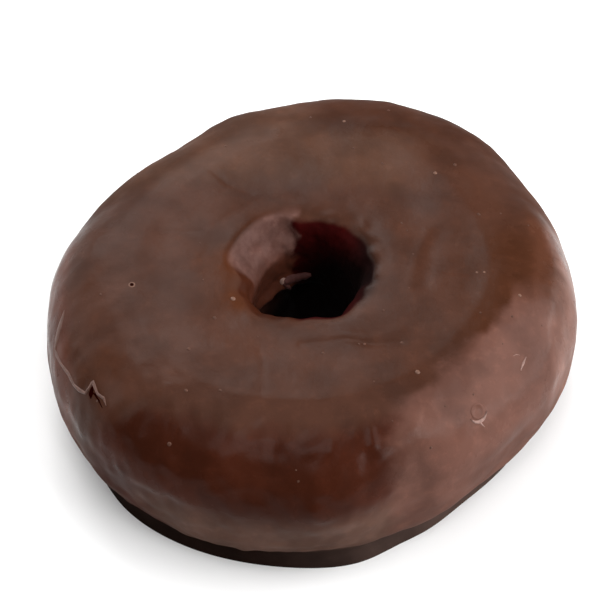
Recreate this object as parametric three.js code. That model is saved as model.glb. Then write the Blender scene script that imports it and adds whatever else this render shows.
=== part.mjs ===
// A ring doughnut coated all over in dark chocolate, resting on its flat base.
// One solid: the coating hides the dough, and the hole runs right through.
// Millimetres, +Z up, the origin on the surface it stands on, under the middle of its box.
// Azimuth 0 is +X and 90 degrees is +Y. The side shown in front is -Y.
import * as THREE from "three";

const DEGREE = Math.PI / 180;

// The ring's plan at its widest: slightly oval, with swells and flats (depth below zero).
const BULGE_RADIUS = 41.65;
const OVAL_SWELL = 1.9;
const OVAL_AZIMUTH = 27 * DEGREE;
const SIDE_SWELLS = [
  { name: "back right swell", azimuth: 60, depth: 3.4, halfWidth: 20 },
  { name: "back dip", azimuth: 79, depth: -0.6, halfWidth: 8 },
  { name: "back swell", azimuth: 87, depth: 3.2, halfWidth: 22 },
  { name: "back left knob", azimuth: 111, depth: 1, halfWidth: 10 },
  { name: "left knob", azimuth: 174, depth: 0.5, halfWidth: 9 },
  { name: "left flat", azimuth: 185, depth: -0.9, halfWidth: 24 },
  { name: "front left dip", azimuth: 210, depth: -0.6, halfWidth: 9 },
  { name: "front right dip", azimuth: 292, depth: -1, halfWidth: 9 },
  { name: "front right flat", azimuth: 312, depth: -1.4, halfWidth: 16 },
  { name: "right corner flat", azimuth: 335, depth: -0.8, halfWidth: 18 },
];

// The hole's plan at half height: a rough circle a little off the middle, with corners.
const THROAT_RADIUS = 7.7;
const HOLE_X = -0.5;
const HOLE_Y = 0.3;
const HOLE_SWELLS = [
  { name: "right corner", azimuth: 5, depth: 0.5, halfWidth: 20 },
  { name: "back corner", azimuth: 85, depth: 0.5, halfWidth: 30 },
  { name: "left hollow", azimuth: 205, depth: 2, halfWidth: 30 },
  { name: "near left corner", azimuth: 235, depth: 0.7, halfWidth: 24 },
  { name: "near right corner", azimuth: 296, depth: 1.2, halfWidth: 20 },
];

// The section through the ring, taken round a core line that rises at the front left.
// The lower half is aimed at a depth below the surface it stands on, which cuts it flat.
const CORE_HEIGHT = 13.2;
const CORE_LIFT = 2.8;
const CORE_LIFT_AZIMUTH = 228 * DEGREE;
const CORE_LIFT_REACH = 45 * DEGREE;
const TOP_HEIGHT = 28;
const UNDER_SINK = 1.6;

// How square each quarter of the section is: 2 is an ellipse, and more is squarer.
const SHOULDER_SQUARENESS = 2.35;
const FRONT_SHOULDER_SQUARENESS = 2;
const FRONT_SHOULDER_AZIMUTH = 262 * DEGREE;
const FRONT_SHOULDER_REACH = 45 * DEGREE;
const BILGE_SQUARENESS = 2.35;
const LIP_SQUARENESS = 8;
const UNDER_SQUARENESS = 6;

// The foot, where the coating ran down and set against the surface.
// It is inset from the bulge, most at the back, and runs out further at the front right.
const FOOT_INSET = 4.5;
const FOOT_INSET_SWAY = 1;
const FOOT_INSET_AZIMUTH = 79 * DEGREE;
const FOOT_RUN_DEPTH = 1.3;
const FOOT_RUN_AZIMUTH = 285 * DEGREE;
const FOOT_RUN_REACH = 20 * DEGREE;
const FOOT_HEIGHT = 3.4;
const FOOT_BLEND = 0.8;
const FOOT_FLARE = 0.15;

// The funnel: a slope cut into the hole's lip on the left.
// Away from its reach the slope passes above the lip by the margin.
const FUNNEL_DEPTH = 6.2;
const FUNNEL_MARGIN = 1.6;
const FUNNEL_SLOPE = 50 * DEGREE;
const FUNNEL_AZIMUTH = 144 * DEGREE;
const FUNNEL_REACH = 48 * DEGREE;
const FUNNEL_ROUNDING = 0.3;

// The ridge across the hole's left wall, over a hollow.
const RIDGE_DEPTH = 1;
const RIDGE_HALF_WIDTH = 0.075;
const RIDGE_HEIGHT = 15.2;
const RIDGE_AZIMUTH = 132 * DEGREE;
const RIDGE_REACH = 44 * DEGREE;
const HOLLOW_DEPTH = 1.2;

// Uneven skin: long low waves in random directions, the same at every build.
const SKIN_SEED = 20;
const SKIN_WAVES = 26;
const SKIN_SHORTEST = 8;
const SKIN_LONGEST = 22;
const SKIN_HEIGHT = 0.03;
const SKIN_CALM_TOP = 0.5;

const AROUND = 96;
const SECTION_STEPS = 56;

const clamp = (x) => Math.min(1, Math.max(0, x));
const ease = (x) => clamp(x) ** 2 * (3 - 2 * clamp(x));
const bell = (x) => Math.exp(-x * x);
const turn = (angle) => Math.atan2(Math.sin(angle), Math.cos(angle));
const mix = (a, b, share) => a + (b - a) * share;

// The sum of a list of swells at an azimuth, each a bell round its own azimuth.
function swellSum(swells, azimuth) {
  let sum = 0;
  for (const { azimuth: middle, depth, halfWidth } of swells)
    sum += depth * bell(turn(azimuth - middle * DEGREE) / (halfWidth * DEGREE));
  return sum;
}

// The ring's radius at its widest, seen from above.
function bulgeRadius(azimuth) {
  const oval = OVAL_SWELL * Math.cos(2 * (azimuth - OVAL_AZIMUTH));
  return BULGE_RADIUS + oval + swellSum(SIDE_SWELLS, azimuth);
}

// The height of the core line above the surface the ring stands on.
function coreHeight(azimuth) {
  return CORE_HEIGHT + CORE_LIFT * bell(turn(azimuth - CORE_LIFT_AZIMUTH) / CORE_LIFT_REACH);
}

// How far the foot's outer edge lies inside the bulge.
function footInset(azimuth) {
  const sway = FOOT_INSET_SWAY * Math.cos(azimuth - FOOT_INSET_AZIMUTH);
  const run = FOOT_RUN_DEPTH * bell(turn(azimuth - FOOT_RUN_AZIMUTH) / FOOT_RUN_REACH);
  return FOOT_INSET + sway - run;
}

// The distance from the ring's axis to the hole's wall at half height.
function throatRadius(azimuth) {
  const offset = HOLE_X * Math.cos(azimuth) + HOLE_Y * Math.sin(azimuth);
  return THROAT_RADIUS + offset + swellSum(HOLE_SWELLS, azimuth);
}

// Random waves for the skin: a direction, a wavelength and a phase each.
function skinWaves() {
  let state = SKIN_SEED;
  const draw = () => {
    state = (1664525 * state + 1013904223) % 4294967296;
    return state / 4294967296;
  };
  return Array.from({ length: SKIN_WAVES }, () => {
    const up = 2 * draw() - 1;
    const spin = 2 * Math.PI * draw();
    const length = SKIN_SHORTEST * (SKIN_LONGEST / SKIN_SHORTEST) ** draw();
    const flat = Math.sqrt(1 - up * up);
    return {
      direction: [flat * Math.cos(spin), flat * Math.sin(spin), up],
      length,
      phase: 2 * Math.PI * draw(),
    };
  });
}

const WAVES = skinWaves();

// How far the skin stands out at a point: longer waves are higher.
function skinHeight(x, y, z) {
  let sum = 0;
  for (const { direction, length, phase } of WAVES) {
    const along = direction[0] * x + direction[1] * y + direction[2] * z;
    sum += (length / SKIN_SHORTEST) * Math.cos((2 * Math.PI * along) / length + phase);
  }
  return SKIN_HEIGHT * sum;
}

// The reach from the core line to the funnel's slope, far away where it doesn't face it.
function funnelReach(azimuth, out, up, halfWidth, halfHeight) {
  const off = turn(azimuth - FUNNEL_AZIMUTH) / FUNNEL_REACH;
  const depth = (FUNNEL_DEPTH + FUNNEL_MARGIN) * bell(off * off) - FUNNEL_MARGIN;
  const inward = Math.sin(FUNNEL_SLOPE);
  const upward = Math.cos(FUNNEL_SLOPE);
  const facing = up * upward - out * inward;
  if (out > 0 || up < 0 || facing < 0.2) return 1000;
  return (halfWidth * inward + (halfHeight - depth) * upward) / facing;
}

// A point of the surface, from the outer edge of the base (share 0) over the top
// and down the hole to the inner edge of the base (share 1).
function surfacePoint(azimuth, share) {
  const bulge = bulgeRadius(azimuth);
  const throat = throatRadius(azimuth);
  const core = (bulge + throat) / 2;
  const halfWidth = (bulge - throat) / 2;
  const middle = coreHeight(azimuth);
  const inset = footInset(azimuth);
  const lowerHeight = middle + UNDER_SINK;
  const cut = 1 - (middle / lowerHeight) ** UNDER_SQUARENESS;
  const innerEdge = halfWidth * cut ** (1 / UNDER_SQUARENESS);

  const start = -Math.atan2(middle, bulge - inset - core);
  const end = Math.PI + Math.atan2(middle, innerEdge);
  const angle = mix(start, end, share);
  const out = Math.cos(angle);
  const up = Math.sin(angle);
  const halfHeight = up > 0 ? TOP_HEIGHT - middle : lowerHeight;

  const outward = ease((out + 0.25) / 0.5);
  const upward = ease((up + 0.25) / 0.5);
  const frontness = bell(turn(azimuth - FRONT_SHOULDER_AZIMUTH) / FRONT_SHOULDER_REACH);
  const shoulder = mix(SHOULDER_SQUARENESS, FRONT_SHOULDER_SQUARENESS, frontness);
  const squareness = mix(
    mix(UNDER_SQUARENESS, BILGE_SQUARENESS, outward),
    mix(LIP_SQUARENESS, shoulder, outward),
    upward,
  );
  let reach =
    (Math.abs(out / halfWidth) ** squareness + Math.abs(up / halfHeight) ** squareness) **
    (-1 / squareness);

  const slope = funnelReach(azimuth, out, up, halfWidth, halfHeight);
  const rounding = Math.log1p(Math.exp(-Math.abs(reach - slope) / FUNNEL_ROUNDING));
  reach = Math.min(reach, slope) - FUNNEL_ROUNDING * rounding;

  const belowRidge = turn(angle - Math.PI) + (RIDGE_HEIGHT - middle) / halfWidth;
  const ridgeShare = bell((turn(azimuth - RIDGE_AZIMUTH) / RIDGE_REACH) ** 2);
  const hollow = ease(belowRidge / 0.12) * (1 - ease((belowRidge - 0.3) / 0.5));
  reach += RIDGE_DEPTH * ridgeShare * bell(belowRidge / RIDGE_HALF_WIDTH);
  reach -= HOLLOW_DEPTH * ridgeShare * hollow;

  const height = middle + reach * up;
  const x = (core + reach * out) * Math.cos(azimuth);
  const y = (core + reach * out) * Math.sin(azimuth);
  const calm = 1 - SKIN_CALM_TOP * ease((up - 0.6) / 0.4);
  reach += skinHeight(x, y, height) * calm * ease(height / FOOT_HEIGHT);

  if (up < 0 && out > 0.05) {
    const slant = out + FOOT_FLARE * up;
    const face = (bulge - inset - FOOT_FLARE * middle - core) / slant;
    const faceHeight = middle + face * up;
    const footShare = ease((FOOT_HEIGHT + FOOT_BLEND - faceHeight) / (2 * FOOT_BLEND));
    reach += Math.max(0, face - reach) * footShare;
  }
  if (up < 0) reach = Math.min(reach, middle / -up);

  const radius = core + reach * out;
  return new THREE.Vector3(
    radius * Math.cos(azimuth),
    radius * Math.sin(azimuth),
    Math.max(0, middle + reach * up),
  );
}

// Shares round the section, closer together at the foot, over the lip and at the ridge.
function sectionShares() {
  const crowding = (share) =>
    1 + 1.6 * bell(share / 0.09) + 1.3 * bell((share - 0.68) / 0.09) + bell((share - 0.8) / 0.05);
  const fine = 720;
  const totals = [0];
  for (let i = 0; i < fine; i++) totals.push(totals[i] + crowding((i + 0.5) / fine));
  const shares = [];
  let at = 0;
  for (let j = 0; j < SECTION_STEPS; j++) {
    const wanted = (totals[fine] * j) / (SECTION_STEPS - 1);
    while (at < fine - 1 && totals[at + 1] < wanted) at++;
    const part = (wanted - totals[at]) / (totals[at + 1] - totals[at]);
    shares.push(Math.min(1, (at + part) / fine));
  }
  return shares;
}

// The closed skin: a grid of points round the ring and round its section.
// The last row joins the first straight across the flat base.
function doughnutGeometry() {
  const shares = sectionShares();
  const positions = [];
  const faces = [];
  for (let i = 0; i < AROUND; i++) {
    const azimuth = (2 * Math.PI * i) / AROUND;
    for (const share of shares) positions.push(...surfacePoint(azimuth, share).toArray());
  }
  for (let i = 0; i < AROUND; i++) {
    for (let j = 0; j < SECTION_STEPS; j++) {
      const nextI = (i + 1) % AROUND;
      const nextJ = (j + 1) % SECTION_STEPS;
      const a = i * SECTION_STEPS + j;
      const b = nextI * SECTION_STEPS + j;
      const c = nextI * SECTION_STEPS + nextJ;
      const d = i * SECTION_STEPS + nextJ;
      faces.push(a, b, c, a, c, d);
    }
  }
  for (const first of [0, SECTION_STEPS - 1])
    for (let i = 0; i < AROUND; i++) positions[3 * (i * SECTION_STEPS + first) + 2] = 0;
  const geometry = new THREE.BufferGeometry();
  geometry.setAttribute("position", new THREE.Float32BufferAttribute(positions, 3));
  geometry.setIndex(faces);
  geometry.computeBoundingBox();
  const middle = geometry.boundingBox.getCenter(new THREE.Vector3());
  geometry.translate(-middle.x, -middle.y, 0);
  geometry.computeVertexNormals();
  return geometry;
}

const chocolate = new THREE.MeshStandardMaterial({
  color: new THREE.Color(0.052, 0.018, 0.01),
  roughness: 0.32,
  metalness: 0,
});

const doughnut = new THREE.Mesh(doughnutGeometry(), chocolate);
doughnut.name = "chocolate_doughnut";

const part = new THREE.Group();
part.add(doughnut);

export default part;
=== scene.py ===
import math

import bpy
import numpy as np
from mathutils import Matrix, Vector


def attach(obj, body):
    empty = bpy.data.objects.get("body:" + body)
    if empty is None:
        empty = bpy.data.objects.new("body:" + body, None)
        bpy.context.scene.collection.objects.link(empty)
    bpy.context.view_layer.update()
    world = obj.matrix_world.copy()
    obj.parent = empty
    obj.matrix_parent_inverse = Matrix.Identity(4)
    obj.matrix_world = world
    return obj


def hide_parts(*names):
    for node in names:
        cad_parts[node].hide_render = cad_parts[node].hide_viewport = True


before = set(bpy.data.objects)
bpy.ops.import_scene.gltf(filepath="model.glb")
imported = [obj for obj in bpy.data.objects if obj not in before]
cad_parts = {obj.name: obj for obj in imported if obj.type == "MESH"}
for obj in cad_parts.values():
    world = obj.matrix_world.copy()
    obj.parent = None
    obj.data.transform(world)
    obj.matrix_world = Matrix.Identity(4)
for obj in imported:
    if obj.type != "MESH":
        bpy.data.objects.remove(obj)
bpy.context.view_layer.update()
scene = bpy.context.scene


# The camera
# It looks down at the doughnut from 50 degrees, over its front, from 60 cm away, with a long
# lens. Its aim lies a little above and to the left of the ring's middle, as in the photograph.
CAMERA_ELEVATION = math.radians(50)
CAMERA_DISTANCE = 0.6
CAMERA_AIM = (-0.0019, 0.0023, 0.0154)
SENSOR_WIDTH = 36
FOCAL_LENGTH = 225
NEAREST_SHOWN = 0.05

lens = bpy.data.cameras.new("camera")
lens.sensor_width = SENSOR_WIDTH
lens.lens = FOCAL_LENGTH
lens.clip_start = NEAREST_SHOWN
camera = bpy.data.objects.new("camera", lens)
camera.location = (
    CAMERA_AIM[0],
    CAMERA_AIM[1] - CAMERA_DISTANCE * math.cos(CAMERA_ELEVATION),
    CAMERA_AIM[2] + CAMERA_DISTANCE * math.sin(CAMERA_ELEVATION),
)
camera.rotation_euler = (math.pi / 2 - CAMERA_ELEVATION, 0, 0)
scene.collection.objects.link(camera)
scene.camera = camera


# The studio
# A plain white floor with upright panels of light round it. The brightest stand on the
# right, paler ones behind and to the left, and none in front, which leaves the front dark.
PANEL_DISTANCE = 0.8
# Upright panels: azimuth, half width, lower and upper elevation in degrees, and radiance.
PANELS = {
    "right floor level": (2, 26, 1, 8, 11.5),
    "right low": (2, 26, 8, 20, 4),
    "right middle": (2, 26, 20, 40, 4.5),
    "right high": (2, 26, 40, 60, 5.1),
    "front right": (-34, 10, 20, 40, 11.4),
    "right of the back, high": (80, 4, 44, 62, 2.7),
    "beside the back": (88, 4, 22, 44, 0.6),
    "beside the back, high": (88, 4, 44, 62, 3.6),
    "back middle": (96, 4, 22, 44, 5.6),
    "back middle, high": (96, 4, 44, 62, 8.9),
    "back low": (100, 24, 1, 22, 1.1),
    "back": (112, 12, 22, 62, 5.6),
    "left back low": (143, 19, 1, 22, 2.4),
    "left back middle": (143, 19, 22, 42, 2.3),
    "left back high": (143, 19, 42, 62, 0.9),
    "left high": (180, 17, 20, 60, 3),
}
# Square panels overhead: place, size and radiance. Each faces the doughnut.
CEILING_PANELS = {
    "overhead": ((0, 0, 1.4), 1.0, 1.7),
    "overhead front": ((0, -0.5, 1.2), 0.5, 4.5),
}
ROOM_GLOW = 0.01
FLOOR_REACH = 2
PAPER_COLOUR = (0.9, 0.9, 0.9, 1)
PAPER_ROUGHNESS = 0.9
PAPER_SPECULAR = 0.1


def panel_light(name, centre, facing, width, height, radiance):
    """A rectangular light at centre, shining along facing. Power is radiance by pi by area."""
    light = bpy.data.lights.new(name, "AREA")
    light.shape = "RECTANGLE"
    light.size, light.size_y = width, height
    light.energy = radiance * math.pi * width * height
    lamp = bpy.data.objects.new(name, light)
    lamp.location = centre
    lamp.rotation_euler = Vector(facing).to_track_quat("-Z", "Y").to_euler()
    scene.collection.objects.link(lamp)


for name, (around, half_width, lowest, highest, radiance) in PANELS.items():
    around = math.radians(around)
    bottom = PANEL_DISTANCE * math.tan(math.radians(lowest))
    top = PANEL_DISTANCE * math.tan(math.radians(highest))
    panel_light(
        name,
        (PANEL_DISTANCE * math.cos(around), PANEL_DISTANCE * math.sin(around), (bottom + top) / 2),
        (-math.cos(around), -math.sin(around), 0),
        2 * PANEL_DISTANCE * math.tan(math.radians(half_width)),
        top - bottom,
        radiance,
    )
for name, (centre, size, radiance) in CEILING_PANELS.items():
    panel_light(name, centre, [-value for value in centre], size, size, radiance)

world = bpy.data.worlds.new("room")
world.use_nodes = True
room_light = world.node_tree.nodes["Background"]
room_light.inputs["Color"].default_value = (1, 1, 1, 1)
room_light.inputs["Strength"].default_value = ROOM_GLOW
scene.world = world
scene.view_settings.view_transform = "Standard"

floor_mesh = bpy.data.meshes.new("floor")
floor_corners = [
    (-FLOOR_REACH, -FLOOR_REACH, 0),
    (FLOOR_REACH, -FLOOR_REACH, 0),
    (FLOOR_REACH, FLOOR_REACH, 0),
    (-FLOOR_REACH, FLOOR_REACH, 0),
]
floor_mesh.from_pydata(floor_corners, [], [(0, 1, 2, 3)])
floor = bpy.data.objects.new("floor", floor_mesh)
scene.collection.objects.link(floor)
paper = bpy.data.materials.new("white paper")
paper.use_nodes = True
paper_shader = paper.node_tree.nodes["Principled BSDF"]
paper_shader.inputs["Base Color"].default_value = PAPER_COLOUR
paper_shader.inputs["Roughness"].default_value = PAPER_ROUGHNESS
paper_shader.inputs["Specular IOR Level"].default_value = PAPER_SPECULAR
floor_mesh.materials.append(paper)


# The chocolate coating
# The whole doughnut is coated, so the coating is all that shows: one closed skin that was
# poured on warm, ran down the sides and set, with a foot where it met the rack.
DEGREE = math.pi / 180

# The ring's plan at its widest, in millimetres: azimuth, depth and half width of each swell.
BULGE_RADIUS = 41.65
OVAL_SWELL = 1.9
OVAL_AZIMUTH = 27 * DEGREE
SIDE_SWELLS = {
    "back right swell": (60, 3.4, 20),
    "back dip": (79, -0.6, 8),
    "back swell": (87, 3.2, 22),
    "back left knob": (111, 1, 10),
    "left knob": (174, 0.5, 9),
    "left flat": (185, -0.9, 24),
    "front left dip": (210, -0.6, 9),
    "front right dip": (292, -1, 9),
    "front right flat": (312, -1.4, 16),
    "right corner flat": (335, -0.8, 18),
}

# The hole's plan at half height.
THROAT_RADIUS = 7.7
HOLE_X = -0.5
HOLE_Y = 0.3
HOLE_SWELLS = {
    "right corner": (5, 0.5, 20),
    "back corner": (85, 0.5, 30),
    "left hollow": (205, 2.0, 30),
    "near left corner": (235, 0.7, 24),
    "near right corner": (296, 1.2, 20),
}

# The section through the ring, taken round a core line that rises at the front left.
CORE_HEIGHT = 13.2
CORE_LIFT = 2.8
CORE_LIFT_AZIMUTH = 228 * DEGREE
CORE_LIFT_REACH = 45 * DEGREE
TOP_HEIGHT = 28
UNDER_SINK = 1.6
SHOULDER_SQUARENESS = 2.35
FRONT_SHOULDER_SQUARENESS = 2
FRONT_SHOULDER_AZIMUTH = 262 * DEGREE
FRONT_SHOULDER_REACH = 45 * DEGREE
BILGE_SQUARENESS = 2.35
LIP_SQUARENESS = 8
UNDER_SQUARENESS = 6
# Each quarter's squareness blends into the next where the outward or upward part of the
# direction is within this of 0.
QUARTER_BLEND = 0.25

# The foot is inset from the bulge, most at the back, and runs out at the front right.
FOOT_INSET = 4.5
FOOT_INSET_SWAY = 1
FOOT_INSET_AZIMUTH = 79 * DEGREE
FOOT_RUN_DEPTH = 1.3
FOOT_RUN_AZIMUTH = 285 * DEGREE
FOOT_RUN_REACH = 20 * DEGREE
FOOT_HEIGHT = 3.4
FOOT_BLEND = 0.8
FOOT_FLARE = 0.15
# The face is added only where the section points outwards by more than this.
FACE_LEAST_OUT = 0.05

# The funnel is a slope cut into the hole's lip on the left. Under it a ridge runs across
# the hole's wall, over a hollow.
FUNNEL_DEPTH = 6.2
FUNNEL_MARGIN = 1.6
FUNNEL_SLOPE = 50 * DEGREE
FUNNEL_AZIMUTH = 144 * DEGREE
FUNNEL_REACH = 48 * DEGREE
FUNNEL_ROUNDING = 0.3
# The slope counts only where it is faced by at least this, and is far away elsewhere.
FUNNEL_LEAST_FACING = 0.2
FAR_AWAY = 1000
RIDGE_DEPTH = 1
RIDGE_HALF_WIDTH = 0.075
RIDGE_HEIGHT = 15.2
RIDGE_AZIMUTH = 132 * DEGREE
RIDGE_REACH = 44 * DEGREE
HOLLOW_DEPTH = 1.2
# The hollow grows, then fades, over these angles below the ridge.
HOLLOW_GROWTH = 0.12
HOLLOW_END = 0.3
HOLLOW_FADE = 0.5

# Uneven skin: long low waves, the same as the solid's. They are calmer where the section
# points nearly straight up.
SKIN_SEED = 20
SKIN_WAVES = 26
SKIN_SHORTEST = 8
SKIN_LONGEST = 22
SKIN_HEIGHT = 0.03
SKIN_CALM_TOP = 0.5
SKIN_CALM_UP = 0.6
SKIN_CALM_BLEND = 0.4

# Random numbers: each draw is what is left of the last one by the factor, plus the step,
# once whole ranges are taken off.
DRAW_FACTOR = 1664525
DRAW_STEP = 1013904223
DRAW_RANGE = 4294967296

# Keeps a division off 0.
TINY = 1e-9


def clamp(x):
    """x held between 0 and 1."""
    return np.clip(x, 0, 1)


def ease(x):
    """A smooth step from 0 to 1: x squared times three less two x."""
    return clamp(x) ** 2 * (3 - 2 * clamp(x))


def bell(x):
    """1 at 0 and falling away both ways: e to the power of minus x squared."""
    return np.exp(-x * x)


def turn(angle):
    """An angle brought between minus half a turn and half a turn."""
    return np.arctan2(np.sin(angle), np.cos(angle))


def mix(a, b, share):
    """a at share 0 and b at share 1, in a straight line between."""
    return a + (b - a) * share


def swell_sum(swells, azimuth):
    """The sum of swells: each is its depth by a bell round its own azimuth."""
    return sum(
        depth * bell(turn(azimuth - middle * DEGREE) / (half_width * DEGREE))
        for middle, depth, half_width in swells.values()
    )


def random_waves(seed, count, shortest, longest):
    """Random waves, by four draws each: a direction spread evenly over the sphere, a
    wavelength and a phase."""
    state = seed
    draws = []
    for _ in range(4 * count):
        state = (DRAW_FACTOR * state + DRAW_STEP) % DRAW_RANGE
        draws.append(state / DRAW_RANGE)
    waves = []
    for up, spin, length, phase in zip(draws[0::4], draws[1::4], draws[2::4], draws[3::4]):
        up = 2 * up - 1
        spin *= 2 * math.pi
        flat = math.sqrt(1 - up * up)
        direction = (flat * math.cos(spin), flat * math.sin(spin), up)
        waves.append((direction, shortest * (longest / shortest) ** length, 2 * math.pi * phase))
    return waves


def wave_sum(points, waves, shortest):
    """A sum of cosines at the points. Each is as high as it is long, and the shortest has
    height 1."""
    total = 0
    for (dx, dy, dz), length, phase in waves:
        along = dx * points[..., 0] + dy * points[..., 1] + dz * points[..., 2]
        total = total + length / shortest * np.cos(2 * math.pi * along / length + phase)
    return total


SKIN = random_waves(SKIN_SEED, SKIN_WAVES, SKIN_SHORTEST, SKIN_LONGEST)


def on_ring(radius, azimuth, height):
    """The point at a radius and an azimuth round the upright axis, at a height."""
    return np.stack(
        [radius * np.cos(azimuth), radius * np.sin(azimuth), height + 0 * azimuth], -1
    )


def ring_form(azimuth, share):
    """The doughnut's plain form, from the foot's outer edge (share 0) over the top and down
    the hole to the base's inner edge (share 1). Round a core line the section is a
    superellipse, whose squareness differs in each quarter, cut by the funnel's slope where
    that is nearer. The ridge, its hollow, the skin's waves and the foot's steep face are
    added to the reach, and the base cuts it flat."""
    bulge = BULGE_RADIUS + OVAL_SWELL * np.cos(2 * (azimuth - OVAL_AZIMUTH))
    bulge = bulge + swell_sum(SIDE_SWELLS, azimuth)
    throat = THROAT_RADIUS + HOLE_X * np.cos(azimuth) + HOLE_Y * np.sin(azimuth)
    throat = throat + swell_sum(HOLE_SWELLS, azimuth)
    core = (bulge + throat) / 2
    half_width = (bulge - throat) / 2
    lift = CORE_LIFT * bell(turn(azimuth - CORE_LIFT_AZIMUTH) / CORE_LIFT_REACH)
    middle = CORE_HEIGHT + lift
    run = FOOT_RUN_DEPTH * bell(turn(azimuth - FOOT_RUN_AZIMUTH) / FOOT_RUN_REACH)
    inset = FOOT_INSET + FOOT_INSET_SWAY * np.cos(azimuth - FOOT_INSET_AZIMUTH) - run
    lower_height = middle + UNDER_SINK
    cut = 1 - (middle / lower_height) ** UNDER_SQUARENESS
    inner_edge = half_width * cut ** (1 / UNDER_SQUARENESS)

    start = -np.arctan2(middle, bulge - inset - core)
    end = math.pi + np.arctan2(middle, inner_edge)
    angle = mix(start, end, share)
    out, up = np.cos(angle), np.sin(angle)
    half_height = np.where(up > 0, TOP_HEIGHT - middle, lower_height)

    outward = ease((out + QUARTER_BLEND) / (2 * QUARTER_BLEND))
    upward = ease((up + QUARTER_BLEND) / (2 * QUARTER_BLEND))
    frontness = bell(turn(azimuth - FRONT_SHOULDER_AZIMUTH) / FRONT_SHOULDER_REACH)
    shoulder = mix(SHOULDER_SQUARENESS, FRONT_SHOULDER_SQUARENESS, frontness)
    squareness = mix(
        mix(UNDER_SQUARENESS, BILGE_SQUARENESS, outward),
        mix(LIP_SQUARENESS, shoulder, outward),
        upward,
    )
    reach = (
        np.abs(out / half_width) ** squareness + np.abs(up / half_height) ** squareness
    ) ** (-1 / squareness)

    off = turn(azimuth - FUNNEL_AZIMUTH) / FUNNEL_REACH
    depth = (FUNNEL_DEPTH + FUNNEL_MARGIN) * bell(off * off) - FUNNEL_MARGIN
    inward, level = math.sin(FUNNEL_SLOPE), math.cos(FUNNEL_SLOPE)
    facing = up * level - out * inward
    faced = (out <= 0) & (up >= 0) & (facing >= FUNNEL_LEAST_FACING)
    slope = half_width * inward + (half_height - depth) * level
    slope = slope / np.maximum(facing, FUNNEL_LEAST_FACING)
    slope = np.where(faced, slope, FAR_AWAY)
    rounding = np.log1p(np.exp(-np.abs(reach - slope) / FUNNEL_ROUNDING))
    reach = np.minimum(reach, slope) - FUNNEL_ROUNDING * rounding

    below_ridge = turn(angle - math.pi) + (RIDGE_HEIGHT - middle) / half_width
    ridge_share = bell((turn(azimuth - RIDGE_AZIMUTH) / RIDGE_REACH) ** 2)
    hollow = ease(below_ridge / HOLLOW_GROWTH)
    hollow = hollow * (1 - ease((below_ridge - HOLLOW_END) / HOLLOW_FADE))
    reach = reach + RIDGE_DEPTH * ridge_share * bell(below_ridge / RIDGE_HALF_WIDTH)
    reach = reach - HOLLOW_DEPTH * ridge_share * hollow

    point = on_ring(core + reach * out, azimuth, middle + reach * up)
    calm = 1 - SKIN_CALM_TOP * ease((up - SKIN_CALM_UP) / SKIN_CALM_BLEND)
    skin_height = SKIN_HEIGHT * wave_sum(point, SKIN, SKIN_SHORTEST)
    reach = reach + skin_height * calm * ease(point[..., 2] / FOOT_HEIGHT)

    low_side = (up < 0) & (out > FACE_LEAST_OUT)
    slant = np.where(low_side, out + FOOT_FLARE * up, 1)
    face = (bulge - inset - FOOT_FLARE * middle - core) / slant
    face_height = middle + face * up
    foot_share = ease((FOOT_HEIGHT + FOOT_BLEND - face_height) / (2 * FOOT_BLEND)) * low_side
    reach = reach + np.maximum(0, face - reach) * foot_share
    reach = np.where(up < 0, np.minimum(reach, middle / np.maximum(-up, TINY)), reach)
    return on_ring(core + reach * out, azimuth, np.maximum(0, middle + reach * up))


# Relief, too fine for the solid: the coating's uneven flow. Each field of waves has a
# seed, a number of waves, its shortest and longest wave, and the shortest one's height.
RELIEF_WAVES = {
    "top": (3, 24, 5, 14, 0.007),
    "lumps": (7, 40, 2, 5, 0.0035),
    "wrinkles": (11, 30, 1.6, 4, 0.005),
    "lip lumps": (47, 30, 2.4, 5, 0.022),
    "hole lumps": (17, 30, 2, 5, 0.013),
    "hole grain": (23, 40, 0.9, 1.8, 0.007),
}
LUMPS_ON_TOP = 0.25
WRINKLE_STRETCH = 6
ROUGH_SIDE_AZIMUTH = 255 * DEGREE
ROUGH_SIDE_REACH = 35 * DEGREE
ROUGH_SIDE_GAIN = 1.6
SKIN_INSET = 0.16

# Where each field stands: the share at which it starts or ends, then its fade.
TOP_START, TOP_START_FADE = 0.36, 0.1
TOP_END, TOP_END_FADE = 0.7, 0.05
SIDE_END, SIDE_FADE = 0.48, 0.1
LOW_END, LOW_FADE = 0.24, 0.08
LIP_SHARE, LIP_HALF_WIDTH = 0.7, 0.022
HOLE_START, HOLE_FADE = 0.685, 0.05

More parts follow.
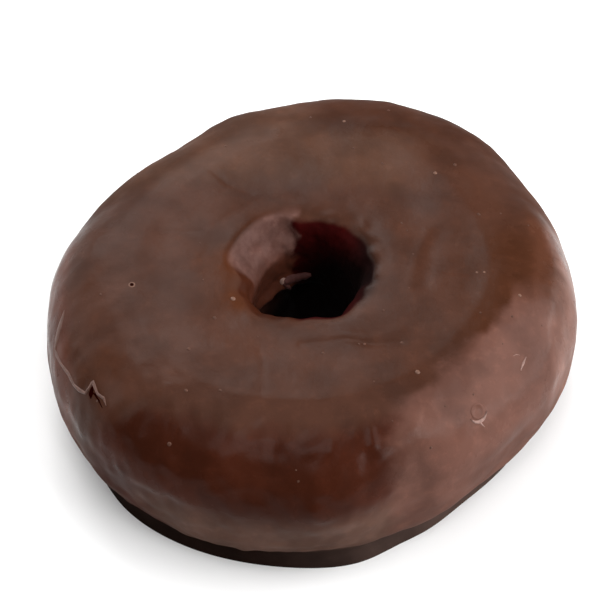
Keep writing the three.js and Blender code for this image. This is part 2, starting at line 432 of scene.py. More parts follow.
# Marks left as the coating set: azimuth in degrees and share of each point along them,
# then height (below zero is a dent) and half width in millimetres.
MARKS = {
    "dent behind the hole": ([(127.5, 0.488), (126.8, 0.542), (120.5, 0.594)], -0.07, 0.55),
    "line on the left": ([(161.8, 0.478), (161, 0.518), (155.5, 0.587)], -0.05, 0.5),
    "line on the right": ([(358.5, 0.570), (358.5, 0.513), (0.2, 0.446)], -0.04, 0.5),
    "ridge right of the hole": ([(345, 0.623), (9.2, 0.626), (23.5, 0.591)], 0.06, 0.9),
    "dent beside the ridge": ([(350, 0.6), (11, 0.6), (21, 0.57)], -0.1, 1.2),
    "ring round the funnel": (
        [(171.8, 0.624), (148.8, 0.605), (121.5, 0.614), (96.8, 0.646)],
        -0.06,
        0.9,
    ),
    "wrinkle under the hole": (
        [(263.5, 0.63), (275.2, 0.625), (290, 0.612), (302, 0.58), (313, 0.551)],
        -0.11,
        0.5,
    ),
    "roll under the hole": (
        [(258, 0.65), (275, 0.643), (290, 0.63), (303, 0.6), (318, 0.575)],
        0.08,
        0.8,
    ),
    "crease at the near left": ([(242.8, 0.622), (248.2, 0.583), (254.2, 0.459)], -0.04, 0.6),
    "drip on the front": ([(275.5, 0.372), (274.5, 0.345)], 0.2, 0.8),
    "drip beside it": ([(286.5, 0.38), (286, 0.345)], 0.14, 0.7),
    "streak above them": ([(289, 0.42), (288.5, 0.4)], 0.09, 0.5),
    "burst bubble": ([(315.8, 0.323), (315.7, 0.325)], -0.12, 0.8),
    "dent above the bubble": ([(328, 0.373), (328.5, 0.377)], -0.08, 0.4),
    "dent further back": ([(339.8, 0.388), (340.4, 0.384)], -0.07, 0.45),
    "fall to the right shoulder": (
        [(34.2, 0.464), (12.8, 0.498), (349.8, 0.492), (328.5, 0.468), (311, 0.457)],
        -0.1,
        3,
    ),
}


def distance_to_path(points, path):
    """The distance from each point to a path of straight steps through given points."""
    nearest = np.full(points.shape[:-1], np.inf)
    for start, finish in zip(path[:-1], path[1:]):
        step = finish - start
        along = clamp(((points - start) @ step) / (step @ step))
        gap = points - start - along[..., None] * step
        nearest = np.minimum(nearest, np.linalg.norm(gap, axis=-1))
    return nearest


def form_path(stations):
    """Points of the plain form at a list of azimuths in degrees and shares."""
    stations = np.array(stations, dtype=float)
    return ring_form(stations[:, 0] * DEGREE, stations[:, 1])


def wave_field(points, name, where):
    """A field of relief: the height of its shortest wave, by how much of the field stands
    there, by its sum of waves."""
    seed, count, shortest, longest, wave_height = RELIEF_WAVES[name]
    waves = random_waves(seed, count, shortest, longest)
    return wave_height * where * wave_sum(points, waves, shortest)


def relief(points, share):
    """How far the coating stands out of its plain form: waves on the top, lumps on the side
    (most at the front left), on the lip and in the hole, wrinkles low on the side, and the
    marks, each a bell round its path, all less an even inset."""
    azimuth = np.arctan2(points[..., 1], points[..., 0])
    rough = 1 + ROUGH_SIDE_GAIN * bell(turn(azimuth - ROUGH_SIDE_AZIMUTH) / ROUGH_SIDE_REACH)
    top = ease((share - TOP_START) / TOP_START_FADE) * ease((TOP_END - share) / TOP_END_FADE)
    side = ease((SIDE_END - share) / SIDE_FADE) * rough
    low = ease((LOW_END - share) / LOW_FADE)
    lip = bell((share - LIP_SHARE) / LIP_HALF_WIDTH)
    hole = ease((share - HOLE_START) / HOLE_FADE)
    squeezed = points * np.array([1 / WRINKLE_STRETCH, 1 / WRINKLE_STRETCH, 1])
    height = wave_field(points, "top", top)
    height = height + wave_field(points, "lumps", side + LUMPS_ON_TOP * top)
    height = height + wave_field(squeezed, "wrinkles", low)
    height = height + wave_field(points, "lip lumps", lip)
    height = height + wave_field(points, "hole lumps", hole)
    height = height + wave_field(points, "hole grain", hole)
    for stations, mark_height, half_width in MARKS.values():
        away = distance_to_path(points, form_path(stations))
        height = height + mark_height * bell(away / half_width)
    return height * ease(points[..., 2] / FOOT_HEIGHT) - SKIN_INSET


def form_steps(azimuth, share, step):
    """How far the plain form's point moves when azimuth goes from a step less to a step
    more, and how far it moves when share does."""
    around = ring_form(azimuth + step, share) - ring_form(azimuth - step, share)
    along = ring_form(azimuth, share + step) - ring_form(azimuth, share - step)
    return around, along


NORMAL_STEP = 1e-4


def coating_surface(azimuth, share):
    """A point of the coating and its outward direction: the plain form, moved along its
    normal by the relief. The normal is square to small steps both ways."""
    azimuth, share = np.broadcast_arrays(azimuth, share)
    point = ring_form(azimuth, share)
    normal = np.cross(*form_steps(azimuth, share, NORMAL_STEP))
    normal = normal / np.maximum(np.linalg.norm(normal, axis=-1, keepdims=True), TINY)
    return point + normal * relief(point, share)[..., None], normal


# The grid of the skin. Its rows are closer together at each of these shares: the share,
# the half width, and how many more rows there are. They thin out down the hidden wall.
COLUMNS = 512
ROWS = 186
BASE_ROWS = 4
ROW_SAMPLES = 4001
MORE_ROWS = {"foot": (0, 0.07, 1.0), "lip": (0.68, 0.07, 0.8), "ridge": (0.8, 0.05, 0.6)}
HIDDEN_START = 0.85
HIDDEN_FADE = 0.08
HIDDEN_THINNING = 0.7


def section_rows(count):
    """Shares round the section, spaced evenly along a running total of crowding: 1, and
    more in a bell round each of some shares, and less on the hole's hidden end."""
    fine = np.linspace(0, 1, ROW_SAMPLES)
    crowding = np.ones(ROW_SAMPLES)
    for share, half_width, more in MORE_ROWS.values():
        crowding = crowding + more * bell((fine - share) / half_width)
    crowding = crowding - HIDDEN_THINNING * ease((fine - HIDDEN_START) / HIDDEN_FADE)
    total = np.concatenate([[0], np.cumsum((crowding[1:] + crowding[:-1]) / 2)])
    return np.interp(np.linspace(0, total[-1], count), total, fine)


def closed_ring_faces(columns, rows):
    """Quads of a grid that is closed both round the ring and round its section."""
    i, j = np.meshgrid(np.arange(columns), np.arange(rows), indexing="ij")
    next_i, next_j = (i + 1) % columns, (j + 1) % rows
    corners = [i * rows + j, next_i * rows + j, next_i * rows + next_j, i * rows + next_j]
    return np.stack(corners, -1).reshape(-1, 4).tolist()


azimuths = np.linspace(0, 2 * math.pi, COLUMNS, endpoint=False)[:, None]
shares = section_rows(ROWS)[None, :]
plain = ring_form(azimuths, shares).reshape(-1, 3)
MIDDLE = (plain.max(0) + plain.min(0)) / 2 * np.array([1, 1, 0])
SHARP_EDGE = 50 * DEGREE


def mesh_piece(name, points_mm, faces, material):
    """A mesh object from points in millimetres and faces, smooth but for its sharp edges.
    The object sits at the origin, under the middle of the ring's box."""
    mesh = bpy.data.meshes.new(name)
    mesh.from_pydata(((points_mm - MIDDLE) / 1000).tolist(), [], faces)
    mesh.shade_smooth()
    mesh.set_sharp_from_angle(angle=SHARP_EDGE)
    mesh.materials.append(material)
    piece = bpy.data.objects.new(name, mesh)
    scene.collection.objects.link(piece)
    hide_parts("chocolate_doughnut")
    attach(piece, "root")


def add_node(tree, kind, inputs=None, **settings):
    """A node in a tree. Each input is a value or the socket that feeds it."""
    node = tree.nodes.new(kind)
    for name, value in settings.items():
        setattr(node, name, value)
    for name, value in (inputs or {}).items():
        if isinstance(value, bpy.types.NodeSocket):
            tree.links.new(value, node.inputs[name])
        else:
            node.inputs[name].default_value = value
    return node


def noise(tree, place, scale, detail, roughness):
    """A noise's value, from 0 to 1, at so many cells a metre."""
    inputs = {"Vector": place, "Scale": scale, "Detail": detail, "Roughness": roughness}
    return add_node(tree, "ShaderNodeTexNoise", inputs).outputs["Fac"]


def spread(tree, value, low, high, start=0, finish=1):
    """A value's range from low to high, stretched smoothly over start to finish."""
    inputs = {"Value": value, "From Min": low, "From Max": high, "To Min": start, "To Max": finish}
    stretched = add_node(tree, "ShaderNodeMapRange", inputs, interpolation_type="SMOOTHSTEP")
    return stretched.outputs["Result"]


def blend(tree, share, first, second):
    """Two colours mixed by a share."""
    inputs = {"Factor": share, "A": first, "B": second}
    node = tree.nodes.new("ShaderNodeMix")
    node.data_type = "RGBA"
    for name, value in inputs.items():
        socket = next(entry for entry in node.inputs if entry.name == name and entry.enabled)
        if isinstance(value, bpy.types.NodeSocket):
            tree.links.new(value, socket)
        else:
            socket.default_value = value
    return next(leave for leave in node.outputs if leave.enabled)


def math_node(tree, operation, first, second):
    """A sum, product or other operation of two values or sockets."""
    node = add_node(tree, "ShaderNodeMath", {0: first, 1: second}, operation=operation)
    return node.outputs["Value"]


def vector_node(tree, operation, first, second):
    """A sum, product or other operation of two vectors, axis by axis."""
    node = add_node(tree, "ShaderNodeVectorMath", {0: first, 1: second}, operation=operation)
    return node.outputs["Vector"]


def product(tree, *values):
    """The product of two values or more."""
    total = values[0]
    for value in values[1:]:
        total = math_node(tree, "MULTIPLY", total, value)
    return total


def nearness(tree, place, centre_mm, inner, outer, strength=1):
    """The strength within the inner distance of a place on the part, in millimetres, and
    0 past the outer one."""
    centre = tuple((np.array(centre_mm) - MIDDLE) / 1000)
    gap = add_node(tree, "ShaderNodeVectorMath", {0: place, 1: centre}, operation="DISTANCE")
    return spread(tree, gap.outputs["Value"], inner / 1000, outer / 1000, strength, 0)


def ramps_of(tree, axes, ramps):
    """For each axis, 0 where a patch begins and 1 where it is full, in millimetres. The
    patch is the product of these."""
    edges = [
        spread(tree, axes.outputs[axis], begins / 1000, full / 1000)
        for axis, (begins, full) in ramps.items()
    ]
    return product(tree, *edges)


CHOCOLATE = (0.0545, 0.021, 0.0125, 1)
CHOCOLATE_IOR = 1.45
CHOCOLATE_SPECULAR = 0.055
# The foot's painted shade on its left, where its shadow falls, and painted light on its right.
FOOT_PAINTED_SHADE = (0.014, 0.0065, 0.0045, 1)
FOOT_PAINTED_LIGHT = (0.055, 0.034, 0.028, 1)
THIN_CHOCOLATE = (0.055, 0.0135, 0.0025, 1)
# Painted shade on the arc behind the hole.
PAINTED_SHADE_BEHIND_HOLE = (0.043, 0.014, 0.007, 1)

# Broad patches that paint the lamps' light and shade into the colour: paler where the right
# flank is lit, with a painted sheen on the right edge, a painted reflection of the floor on the
# low front, paler where the left side, the back and the back right edge are lit, and darker in
# the shade of the front, the right shoulder and the back edge. For each: the colour, and for
# each axis the place in millimetres where the patch begins and the place where it is full.
PAINTED_LIGHT_AND_SHADE = {
    "back": ((0.068, 0.029, 0.017, 1), {"X": (22, 12), "Y": (13, 20)}),
    "back edge": ((0.045, 0.0145, 0.0068, 1), {"X": (-3, 4), "Y": (25, 30)}),
    "right shoulder": ((0.047, 0.016, 0.0078, 1), {"X": (21, 26), "Y": (10, 4)}),
    "back right edge": ((0.064, 0.023, 0.0125, 1), {"X": (33, 36), "Z": (27, 26)}),
    "front": ((0.0415, 0.0103, 0.005, 1), {"Y": (-26, -30), "Z": (27, 25.5)}),
    "low front": ((0.088, 0.0435, 0.0305, 1), {"Y": (-33, -37), "Z": (18, 12)}),
    "left side": ((0.079, 0.0251, 0.0146, 1), {"X": (-36, -39), "Z": (25.5, 23)}),
    "right flank": (
        (0.111, 0.0495, 0.0362, 1),
        {"X": (10.5, 15), "Y": (-2, -10), "Z": (27.5, 26.9)},
    ),
    "right edge": ((0.165, 0.078, 0.058, 1), {"X": (36.5, 41), "Z": (26, 24)}),
}

# The patches' edges wander by a noise: cells a metre, and metres along each axis, taken
# from the noise's middle.
WANDER_SCALE = 190
WANDER_DETAIL = 4
PATCH_WANDER = (0.006, 0.006, 0.0012)
NOISE_MIDDLE = (0.5, 0.5, 0.5)

# The hole is whatever lies near one of two places. Each has the distance up to which it
# counts fully and the one where it ends. The hole is brown on the near left; the right wall,
# which lies in shade, is painted a near-black red; the funnel gets a painted sheen; and deep
# down lies a painted near-black shade, further down towards the left.
HOLE_TOP = ((-2.5, 0.5, 21), 13, 15.5)
HOLE_BOTTOM = ((-1, 1, 8), 12, 14)
BROWN_LIP = (0.036, 0.0085, 0.003, 1)
BROWN_WALL = (0.07, 0.0195, 0.0105, 1)
RED_WALL = (0.022, 0.0003, 0.0002, 1)
PAINTED_SHEEN_WALL = (0.115, 0.057, 0.047, 1)
DEEP_PAINTED_SHADE = (0.003, 0.0002, 0.0001, 1)
SUNK = {"Z": (27.3, 26.8)}
BELOW_LIP = {"Z": (26.5, 22.5)}
RED_SIDE = {"X": (-3, -1.6)}
FUNNEL_LIP = {"Z": (27.8, 27.3)}
FUNNEL_SIDE = {"X": (-1.4, -2.6)}
PAINTED_SHEEN_PLACE = {"Y": (-2, 1), "Z": (20.5, 23.5)}
DEEP_SLOPE = 1.2
DEEP_FULL = 14.5
DEEP_BEGINS = 21.5

# The foot's colour is painted shade and light: near black on the left, where its shadow falls,
# to paler on the lit right, up to a height on the outside.
FOOT_RISE = {"Z": (4.8, 3.4)}
FOOT_ACROSS = {"X": (-12, 22)}

# Spots of another colour, in millimetres: thin coating that lets the dough's colour
# through, the dark brown lip at the hole's near left, and painted shade on an arc behind the hole.
COLOUR_SPOTS = {
    "left of the hole": (THIN_CHOCOLATE, (-14.9, 1.2, 27.9), 5.5),
    "near left of the hole": (THIN_CHOCOLATE, (-12.1, -6.4, 27.6), 4),
    "beside the crack": (THIN_CHOCOLATE, (-32, -18, 25.4), 5),
    "near left lip": (BROWN_LIP, (-9.9, -5.2, 26.6), 2.4),
    "near left lip, further on": (BROWN_LIP, (-8.8, -7.2, 26.6), 2.2),
    "behind the hole, left": (PAINTED_SHADE_BEHIND_HOLE, (-9, 12.5, 28), 6),
    "behind the hole": (PAINTED_SHADE_BEHIND_HOLE, (-2, 14, 28), 6.5),
    "behind the hole, right": (PAINTED_SHADE_BEHIND_HOLE, (5, 13, 28), 6),
}
SPOT_STRENGTH = 0.75
SPOT_FULL = 0.1

# Noises in the chocolate: cells a metre, detail, roughness, the range of the noise that is
# used, and what that range is stretched over.
NOISES = {
    "cloud": (130, 4, 0.5, (0.35, 0.65), (0.72, 1)),
    "fleck": (700, 4, 0.6, (0.5, 0.72), (1, 1.16)),
    "speckle": (420, 5, 0.6, (0.36, 0.64), (0.55, 1)),
    "shine": (160, 4, 0.6, (0.3, 0.7), (0.2, 0.34)),
    "mottle": (1500, 3, 0.5, (0.3, 0.7), (0, 1)),
}
PORES = (900, 4, 0.6)
COATING_GRAIN = 0.00004

# How much duller the coating is in places, added to its roughness.
LOW_SIDE = {"Z": (18, 7)}
LOW_SIDE_DULLNESS = 0.45
BACK_EDGE = {"Y": (8, 18), "Z": (27.6, 26.6)}
BACK_EDGE_DULLNESS = 0.45
RED_WALL_DULLNESS = 0.6
FUNNEL_DULLNESS = 0.3
FOOT_DULLNESS = 0.3


def stretched_noise(tree, place, name):
    """One of the noises in the chocolate, stretched over its range."""
    scale, detail, roughness, used, result = NOISES[name]
    return spread(tree, noise(tree, place, scale, detail, roughness), *used, *result)


def grain_group():
    """The set surface's fine grain: a noise of pores as a bump of a given depth."""
    group = bpy.data.node_groups.new("chocolate grain", "ShaderNodeTree")
    group.interface.new_socket("Depth", in_out="INPUT", socket_type="NodeSocketFloat")
    group.interface.new_socket("Normal", in_out="OUTPUT", socket_type="NodeSocketVector")
    entry = group.nodes.new("NodeGroupInput")
    place = add_node(group, "ShaderNodeTexCoord").outputs["Object"]
    pores = noise(group, place, *PORES)
    bump = add_node(
        group, "ShaderNodeBump", {"Height": pores, "Distance": entry.outputs["Depth"]}
    )
    leave = group.nodes.new("NodeGroupOutput")
    group.links.new(bump.outputs["Normal"], leave.inputs["Normal"])
    return group


GRAIN = grain_group()


def grain(tree, depth):
    """The grain's group in a tree, at a depth in metres."""
    node = tree.nodes.new("ShaderNodeGroup")
    node.node_tree = GRAIN
    node.inputs["Depth"].default_value = depth
    return node.outputs["Normal"]


def hole_colours(tree, place, axes, loose, in_hole, colour):
    """The hole's colours laid over the coating's: brown, then red as painted shade on the right
    wall, a painted sheen on the funnel and near black as painted shade deep down. It gives
    the colour, and where the red wall and the funnel's edge are."""
    sunk = product(tree, in_hole, ramps_of(tree, axes, SUNK))
    brown = blend(tree, ramps_of(tree, axes, BELOW_LIP), BROWN_LIP, BROWN_WALL)
    colour = blend(tree, sunk, colour, brown)
    # Painted shade: the right wall lies in shade, so it is painted a near-black red.
    red = product(tree, sunk, ramps_of(tree, loose, RED_SIDE))
    colour = blend(tree, red, colour, RED_WALL)
    funnel = product(
        tree, in_hole, ramps_of(tree, axes, FUNNEL_LIP), ramps_of(tree, loose, FUNNEL_SIDE)
    )
    # Painted sheen: the funnel's lit slope is painted paler, speckled.
    speckle = stretched_noise(tree, place, "speckle")
    painted_sheen = product(tree, funnel, speckle, ramps_of(tree, loose, PAINTED_SHEEN_PLACE))
    colour = blend(tree, painted_sheen, colour, PAINTED_SHEEN_WALL)
    # Painted shade: near black deep in the hole, reaching further down towards the left.
    sideways = math_node(tree, "MULTIPLY", axes.outputs["X"], DEEP_SLOPE)
    level = math_node(tree, "SUBTRACT", axes.outputs["Z"], sideways)
    deep = product(tree, in_hole, spread(tree, level, DEEP_FULL / 1000, DEEP_BEGINS / 1000, 1, 0))
    return blend(tree, deep, colour, DEEP_PAINTED_SHADE), red, funnel


def chocolate_material():
    """Dark chocolate. Its colour differs in broad patches that paint in light and shade and in
    spots, then come the hole's colours and the foot's, which paint shade and sheen too, and a
    mottle over them all. Its roughness is a noise, with more added where the coating is duller."""
    material = bpy.data.materials.new("dark chocolate")
    material.use_nodes = True
    tree = material.node_tree
    shader = tree.nodes["Principled BSDF"]
    place = add_node(tree, "ShaderNodeTexCoord").outputs["Object"]
    axes = add_node(tree, "ShaderNodeSeparateXYZ", {"Vector": place})

    wander = {"Vector": place, "Scale": WANDER_SCALE, "Detail": WANDER_DETAIL}
    drift = add_node(tree, "ShaderNodeTexNoise", wander).outputs["Color"]
    drift = vector_node(tree, "SUBTRACT", drift, NOISE_MIDDLE)
    drift = vector_node(tree, "MULTIPLY", drift, PATCH_WANDER)
    wandering = vector_node(tree, "ADD", place, drift)
    loose = add_node(tree, "ShaderNodeSeparateXYZ", {"Vector": wandering})
    colour = CHOCOLATE
    for patch_colour, ramps in PAINTED_LIGHT_AND_SHADE.values():
        colour = blend(tree, ramps_of(tree, loose, ramps), colour, patch_colour)
    for spot_colour, centre, reach in COLOUR_SPOTS.values():
        spot = nearness(tree, place, centre, SPOT_FULL * reach, reach, SPOT_STRENGTH)
        colour = blend(tree, spot, colour, spot_colour)

    near_top = nearness(tree, place, *HOLE_TOP)
    near_bottom = nearness(tree, place, *HOLE_BOTTOM)
    in_hole = math_node(tree, "MAXIMUM", near_top, near_bottom)
    colour, red, funnel = hole_colours(tree, place, axes, loose, in_hole, colour)
    outside = spread(tree, in_hole, 0, 1, 1, 0)
    foot = product(tree, outside, ramps_of(tree, axes, FOOT_RISE))
    foot_colour = blend(tree, ramps_of(tree, axes, FOOT_ACROSS), FOOT_PAINTED_SHADE, FOOT_PAINTED_LIGHT)
    colour = blend(tree, foot, colour, foot_colour)
    cloud = stretched_noise(tree, place, "cloud")
    fleck = stretched_noise(tree, place, "fleck")
    mottled = {"Vector": colour, "Scale": product(tree, cloud, fleck)}
    mottled = add_node(tree, "ShaderNodeVectorMath", mottled, operation="SCALE")
    tree.links.new(mottled.outputs["Vector"], shader.inputs["Base Color"])

    roughness = stretched_noise(tree, place, "shine")
    duller_places = [
        product(tree, funnel, FUNNEL_DULLNESS),
        product(tree, red, RED_WALL_DULLNESS),
        product(tree, outside, ramps_of(tree, axes, LOW_SIDE), LOW_SIDE_DULLNESS),
        product(tree, ramps_of(tree, axes, BACK_EDGE), BACK_EDGE_DULLNESS),
        product(tree, foot, FOOT_DULLNESS),
    ]
    for duller in duller_places:
        roughness = math_node(tree, "ADD", roughness, duller)
    tree.links.new(roughness, shader.inputs["Roughness"])
    tree.links.new(grain(tree, COATING_GRAIN), shader.inputs["Normal"])
    shader.inputs["IOR"].default_value = CHOCOLATE_IOR
    shader.inputs["Specular IOR Level"].default_value = CHOCOLATE_SPECULAR
    return material


# The skin's first and last rows lie on the floor, and the base closes it between them.
skin, _ = coating_surface(azimuths, shares)
skin[:, (0, -1), 2] = 0
base_steps = (np.arange(1, BASE_ROWS + 1) / (BASE_ROWS + 1))[None, :, None]
base = mix(skin[:, -1:], skin[:, :1], base_steps)
skin = np.concatenate([skin, base], axis=1)
chocolate = chocolate_material()
mesh_piece(
    "chocolate_coating",
    skin.reshape(-1, 3),
    closed_ring_faces(COLUMNS, ROWS + BASE_ROWS),
    chocolate,
)


# The crack on the left side
# The coating split as it shrank. Its upper edge lifted into a thin pale lip, and the gap
# under the lip is a near-black ribbon of painted shade. A smooth fold runs on from the crack's far
# end.
SCUFFED_CHOCOLATE = (0.11, 0.053, 0.039, 1)
CRACK_SHADOW = (0.012, 0.0008, 0.0004, 1)
MOTTLE_DARKNESS = 0.7
PIECE_GRAIN = 0.00002
PIECE_SINK = 0.08
SLOPE_STEP = 1e-3


def skin_beside(azimuth, share, offset):
    """The coating's point and outward direction at an offset, in millimetres along the
    skin, from a place. The form's two slopes there turn the offset into azimuth and share."""
    around, along = form_steps(azimuth, share, SLOPE_STEP)
    around = around / (2 * SLOPE_STEP)
    along = along / (2 * SLOPE_STEP)
    around_squared = (around * around).sum(-1)
    along_squared = (along * along).sum(-1)
    slant = (around * along).sum(-1)
    offset_around = (offset * around).sum(-1)
    offset_along = (offset * along).sum(-1)
    scale = around_squared * along_squared - slant * slant
    azimuth = azimuth + (offset_around * along_squared - offset_along * slant) / scale
    share = share + (offset_along * around_squared - offset_around * slant) / scale
    return coating_surface(azimuth, share)


def capped_tube(rows):
    """Points and faces of a tube through rows of points, each end drawn to its middle."""
    count, around = rows.shape[:2]
    points = np.concatenate([rows.reshape(-1, 3), rows[(0, -1), :].mean(1)])
    i, j = np.meshgrid(np.arange(count - 1), np.arange(around), indexing="ij")
    next_j = (j + 1) % around
    corners = [i * around + j, (i + 1) * around + j, (i + 1) * around + next_j, i * around + next_j]
    faces = np.stack(corners, -1).reshape(-1, 4).tolist()
    last = (count - 1) * around
    for k in range(around):
        after = (k + 1) % around
        faces.append([count * around, k, after])
        faces.append([count * around + 1, last + after, last + k])
    return points, faces


def ribbon(stations, height, steps=6, columns=12):
    """A raised ribbon on the skin through stations of azimuth in degrees, share and half
    width. Its section is half an ellipse over a shallower one that is sunk in the skin."""
    stations = np.array(stations, dtype=float)
    places = np.arange(len(stations))
    fine = np.linspace(0, places[-1], places[-1] * steps + 1)
    azimuth, share, half_width = (np.interp(fine, places, column) for column in stations.T)
    azimuth = azimuth * DEGREE
    point, normal = coating_surface(azimuth, share)
    ahead = np.gradient(point, axis=0)
    across = np.cross(normal, ahead)
    across = across / np.linalg.norm(across, axis=-1, keepdims=True)
    spin = np.arange(columns) / columns * 2 * math.pi
    sideways = -np.cos(spin) * half_width[:, None]
    up = np.where(np.sin(spin) > 0, height + PIECE_SINK, PIECE_SINK / 2) * np.sin(spin)
    offset = across[:, None] * sideways[..., None]
    base, outward = skin_beside(azimuth[:, None], share[:, None], offset)
    return capped_tube(base + outward * (up - PIECE_SINK)[..., None])


def joined(solids):
    """Several solids of points and faces as one."""
    points, faces, total = [], [], 0
    for solid_points, solid_faces in solids:
        points.append(solid_points)
        faces += [[corner + total for corner in face] for face in solid_faces]
        total += len(solid_points)
    return np.concatenate(points), faces


def plain_material(name, colour, roughness, specular):
    """One colour of chocolate or crumb, or of painted shade or highlight, with a fine mottle and
    the same grain.
    """
    material = bpy.data.materials.new(name)
    material.use_nodes = True
    tree = material.node_tree
    shader = tree.nodes["Principled BSDF"]
    place = add_node(tree, "ShaderNodeTexCoord").outputs["Object"]
    mottle = stretched_noise(tree, place, "mottle")
    darker = tuple(MOTTLE_DARKNESS * channel for channel in colour[:3]) + (1,)
    tree.links.new(blend(tree, mottle, darker, colour), shader.inputs["Base Color"])
    tree.links.new(grain(tree, PIECE_GRAIN), shader.inputs["Normal"])
    shader.inputs["Roughness"].default_value = roughness
    shader.inputs["Specular IOR Level"].default_value = specular
    return material


# Stations of each ribbon: azimuth in degrees, share, and half width in millimetres.
CRACK_LIP = [
    (194, 0.256, 0.12),
    (196, 0.256, 0.34),
    (198.8, 0.259, 0.24),
    (202.8, 0.266, 0.36),
    (206.2, 0.265, 0.26),
    (208.8, 0.271, 0.36),
    (210.8, 0.279, 0.24),
    (210.8, 0.294, 0.3),
    (210.5, 0.308, 0.36),
    (214, 0.301, 0.24),
    (216, 0.305, 0.28),
    (217.8, 0.298, 0.06),
]
CRACK_GAP = [
    (210.9, 0.307, 0.06),
    (211.7, 0.298, 0.4),
    (212.3, 0.289, 0.6),
    (213, 0.282, 0.1),
]
GAP_TAIL = [
    (212.6, 0.294, 0.1),
    (213.4, 0.2955, 0.2),
    (215.2, 0.2935, 0.18),
    (217.2, 0.288, 0.05),
]
CRACK_FOLD = [
    (187.6, 0.312, 0.1),
    (189.2, 0.302, 0.4),
    (190.8, 0.292, 0.6),
    (192.8, 0.272, 0.7),
    (194, 0.259, 0.4),
    (195, 0.254, 0.1),
]
CRACK_LIP_HEIGHT = 0.16
CRACK_GAP_HEIGHT = 0.08
CRACK_FOLD_HEIGHT = 0.12
scuffed = plain_material("scuffed chocolate", SCUFFED_CHOCOLATE, roughness=0.45, specular=0.2)
shadowed = plain_material("painted gap shade", CRACK_SHADOW, roughness=0.9, specular=0)
painted_crack_shade = joined([ribbon(CRACK_GAP, CRACK_GAP_HEIGHT), ribbon(GAP_TAIL, CRACK_GAP_HEIGHT)])
mesh_piece("crack_lip", *ribbon(CRACK_LIP, CRACK_LIP_HEIGHT), scuffed)
mesh_piece("painted_crack_shade", *painted_crack_shade, shadowed)
mesh_piece("crack_fold", *ribbon(CRACK_FOLD, CRACK_FOLD_HEIGHT), scuffed)


# The burst bubble and the scratch on the right
# An air bubble burst in the warm coating and left a ring. A flap of thin coating bent down
# below it into a pale crescent, and something scraped a short pale line further back.


def round_patch(azimuth, share, radii, heights, spokes=32):
    """A round patch on the skin: circles of given radii in millimetres, each at its height
    over the skin, closed underneath."""
    azimuth = azimuth * DEGREE
    _, normal = coating_surface(azimuth, share)
    around, _ = form_steps(azimuth, share, SLOPE_STEP)
    around = around / np.linalg.norm(around)
    upward = np.cross(normal, around)
    spin = (np.arange(spokes) / spokes * 2 * math.pi)[None, :, None]
    radii = np.array(radii)[:, None, None]
    offset = radii * (np.cos(spin) * around + np.sin(spin) * upward)
    base, outward = skin_beside(np.array(azimuth), np.array(share), offset)
    return capped_tube(base + outward * np.array(heights)[:, None, None])


# How far into half a turn, in radians, an arc's thickness starts and ends.
ARC_ENDS = 0.08


def arc_round(azimuth, share, radius, turn_range, half_width, count=9):
    """Stations of a ribbon on part of a circle round a place, between two turns in degrees.
    Its half width swells and thins as half a wave of sine."""
    around, along = form_steps(azimuth * DEGREE, share, SLOPE_STEP)
    spin = np.linspace(*turn_range, count) * DEGREE
    thickness = half_width * np.sin(np.linspace(ARC_ENDS, math.pi - ARC_ENDS, count))
    sideways = radius * np.cos(spin) * 2 * SLOPE_STEP / np.linalg.norm(around)
    upward = radius * np.sin(spin) * 2 * SLOPE_STEP / np.linalg.norm(along)
    return np.stack([azimuth + sideways / DEGREE, share + upward, thickness], -1)


FLAKED_CHOCOLATE = (0.23, 0.13, 0.105, 1)

# The bubble's profile runs from its middle over its ring and in under it, in millimetres.
BUBBLE_PLACE = (315.8, 0.32)
BUBBLE_RADII = (0.1, 0.5, 0.8, 0.95, 1.1, 1.25, 1.4, 0.6)
BUBBLE_HEIGHTS = (0.01, 0.01, 0.03, 0.08, 0.1, 0.06, -0.08, -0.12)
BUBBLE_FLAP_RADIUS = 1.7
BUBBLE_FLAP_TURN = (-170, -35)
BUBBLE_FLAP_HALF_WIDTH = 0.34
BUBBLE_FLAP_HEIGHT = 0.16
BUBBLE_TAIL = [(315, 0.298, 0.14), (315.4, 0.289, 0.16), (315.8, 0.281, 0.05)]
BUBBLE_TAIL_HEIGHT = 0.1
SCRATCH = [(336.8, 0.323, 0.06), (335, 0.319, 0.24), (333, 0.314, 0.08)]
SCRATCH_HEIGHT = 0.1
SCRATCH_BESIDE = [(334.3, 0.347, 0.04), (335.2, 0.344, 0.1), (335.8, 0.337, 0.04)]
SCRATCH_BESIDE_HEIGHT = 0.06
flaky = plain_material("flaked chocolate", FLAKED_CHOCOLATE, roughness=0.45, specular=0.3)
bubble_flap = arc_round(
    *BUBBLE_PLACE, BUBBLE_FLAP_RADIUS, BUBBLE_FLAP_TURN, BUBBLE_FLAP_HALF_WIDTH
)
mesh_piece("burst_bubble", *round_patch(*BUBBLE_PLACE, BUBBLE_RADII, BUBBLE_HEIGHTS), chocolate)
mesh_piece("bubble_flap", *ribbon(bubble_flap, BUBBLE_FLAP_HEIGHT), flaky)
mesh_piece("bubble_tail", *ribbon(BUBBLE_TAIL, BUBBLE_TAIL_HEIGHT), flaky)
mesh_piece("scratch", *ribbon(SCRATCH, SCRATCH_HEIGHT), flaky)
mesh_piece("scratch_beside", *ribbon(SCRATCH_BESIDE, SCRATCH_BESIDE_HEIGHT), flaky)


# The pinhole and the crumbs
# A tiny bubble left a pale ring with a dark middle on the left, the middle painted shade.
# Crumbs of dough and sugar were caught in the coating all over; the pale ones' colour is
# painted highlight, and the coated ones are a little paler than the coating.

# A crumb's profile runs from its top out to its edge and in under it, by its radius.
CRUMB_RADII = np.array([0.2, 0.5, 0.75, 0.9, 1, 1.1, 0.5])
CRUMB_HEIGHTS = np.array([0.4, 0.36, 0.27, 0.16, 0, -0.25, -0.35])
CRUMB_SPOKES = 12


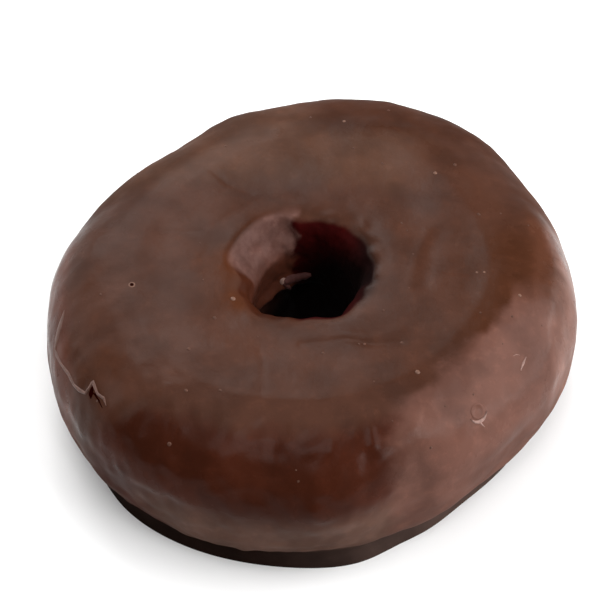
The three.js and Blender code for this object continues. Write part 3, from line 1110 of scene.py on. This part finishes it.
def crumb(azimuth, share, radius):
    """A low dome on the skin: a crumb's profile, as large as its radius says."""
    radii = radius * CRUMB_RADII
    heights = radius * CRUMB_HEIGHTS
    return round_patch(azimuth, share, radii, heights, spokes=CRUMB_SPOKES)


# Painted highlight: the pale crumbs' colour stands for the light they catch.
PALE_CRUMB = (0.15, 0.075, 0.05, 1)
COATED_CRUMB = (0.085, 0.038, 0.025, 1)

# The profiles of the pinhole's rim and of its dark floor, painted shade, as the bubble's.
PINHOLE_PLACE = (186.5, 0.473)
PINHOLE_RADII = (0.05, 0.2, 0.3, 0.4, 0.5, 0.62, 0.3)
PINHOLE_HEIGHTS = (0.01, 0.01, 0.03, 0.08, 0.05, -0.08, -0.12)
PINHOLE_FLOOR_RADII = (0.05, 0.2, 0.33, 0.37, 0.15)
PINHOLE_FLOOR_HEIGHTS = (0.045, 0.045, 0.045, -0.02, -0.06)

# Each crumb: azimuth in degrees, share, and radius in millimetres.
PALE_CRUMBS = {
    "near the hole's left": (205.5, 0.674, 0.42),
    "on the near right": (308.2, 0.464, 0.4),
    "at the back right": (45.5, 0.484, 0.32),
    "by the right edge": (352, 0.395, 0.3),
    "on the right": (359, 0.499, 0.2),
    "next to it": (359, 0.482, 0.2),
    "at the back": (80.5, 0.427, 0.26),
}
DIM_CRUMBS = {
    "left of the hole": (213.2, 0.631, 0.3),
    "near left": (220.8, 0.531, 0.3),
    "further near left": (231.5, 0.426, 0.3),
    "beside that": (240, 0.465, 0.24),
    "towards the back right": (44, 0.429, 0.3),
    "right of the hole": (23.5, 0.462, 0.26),
    "under the hole": (298.2, 0.588, 0.24),
    "further under the hole": (275.8, 0.6, 0.24),
    "on the wrinkle": (313.2, 0.548, 0.26),
    "on the front left shoulder": (235.8, 0.301, 0.34),
}
STRAY_SEED = 29
STRAY_COUNT = 36
STRAY_SMALLEST = 0.12
STRAY_LARGEST = 0.24
STRAY_FIRST_SHARE = 0.16
STRAY_SHARE_SPREAD = 0.25


def stray_crumbs(seed, count):
    """Small crumbs at random places over the top and the sides. A wave's phase gives the
    azimuth, its direction's upward part the share, and its length the radius."""
    crumbs = []
    for (_, _, up), length, phase in random_waves(seed, count, STRAY_SMALLEST, STRAY_LARGEST):
        share = STRAY_FIRST_SHARE + STRAY_SHARE_SPREAD * (up + 1)
        crumbs.append((phase / DEGREE, share, length))
    return crumbs


pale = plain_material("pale crumb", PALE_CRUMB, roughness=0.5, specular=0.2)
dim = plain_material("coated crumb", COATED_CRUMB, roughness=0.4, specular=0.1)
mesh_piece("pinhole_rim", *round_patch(*PINHOLE_PLACE, PINHOLE_RADII, PINHOLE_HEIGHTS), pale)
mesh_piece(
    "pinhole_floor",
    *round_patch(*PINHOLE_PLACE, PINHOLE_FLOOR_RADII, PINHOLE_FLOOR_HEIGHTS),
    shadowed,
)
mesh_piece("pale_crumbs", *joined([crumb(*place) for place in PALE_CRUMBS.values()]), pale)
dim_places = list(DIM_CRUMBS.values()) + stray_crumbs(STRAY_SEED, STRAY_COUNT)
mesh_piece("coated_crumbs", *joined([crumb(*place) for place in dim_places]), dim)


# The curl in the hole
# A run of chocolate set as a curl on the ridge across the hole's left wall, with a knob at
# its near end whose pale colour is a painted highlight, for the light it catches.
CURL = [
    (122, 0.803, 0.5),
    (116, 0.804, 0.75),
    (104.8, 0.809, 0.7),
    (96, 0.811, 0.6),
    (90, 0.812, 0.3),
]
CURL_BRANCH = [(123, 0.803, 0.3), (119, 0.815, 0.4), (115, 0.828, 0.1)]
CURL_KNOB = (122.6, 0.8, 0.6)
CURL_HEIGHT = 0.5
CURL_BRANCH_HEIGHT = 0.3
CURLED_CHOCOLATE = (0.085, 0.032, 0.028, 1)
KNOB_HIGHLIGHT = (0.27, 0.16, 0.13, 1)

curled = plain_material("curled chocolate", CURLED_CHOCOLATE, roughness=0.5, specular=0.05)
knob_highlight = plain_material("painted knob highlight", KNOB_HIGHLIGHT, roughness=0.5, specular=0.2)
curl = joined([ribbon(CURL, CURL_HEIGHT), ribbon(CURL_BRANCH, CURL_BRANCH_HEIGHT)])
mesh_piece("curl", *curl, curled)
mesh_piece("curl_knob", *crumb(*CURL_KNOB), knob_highlight)
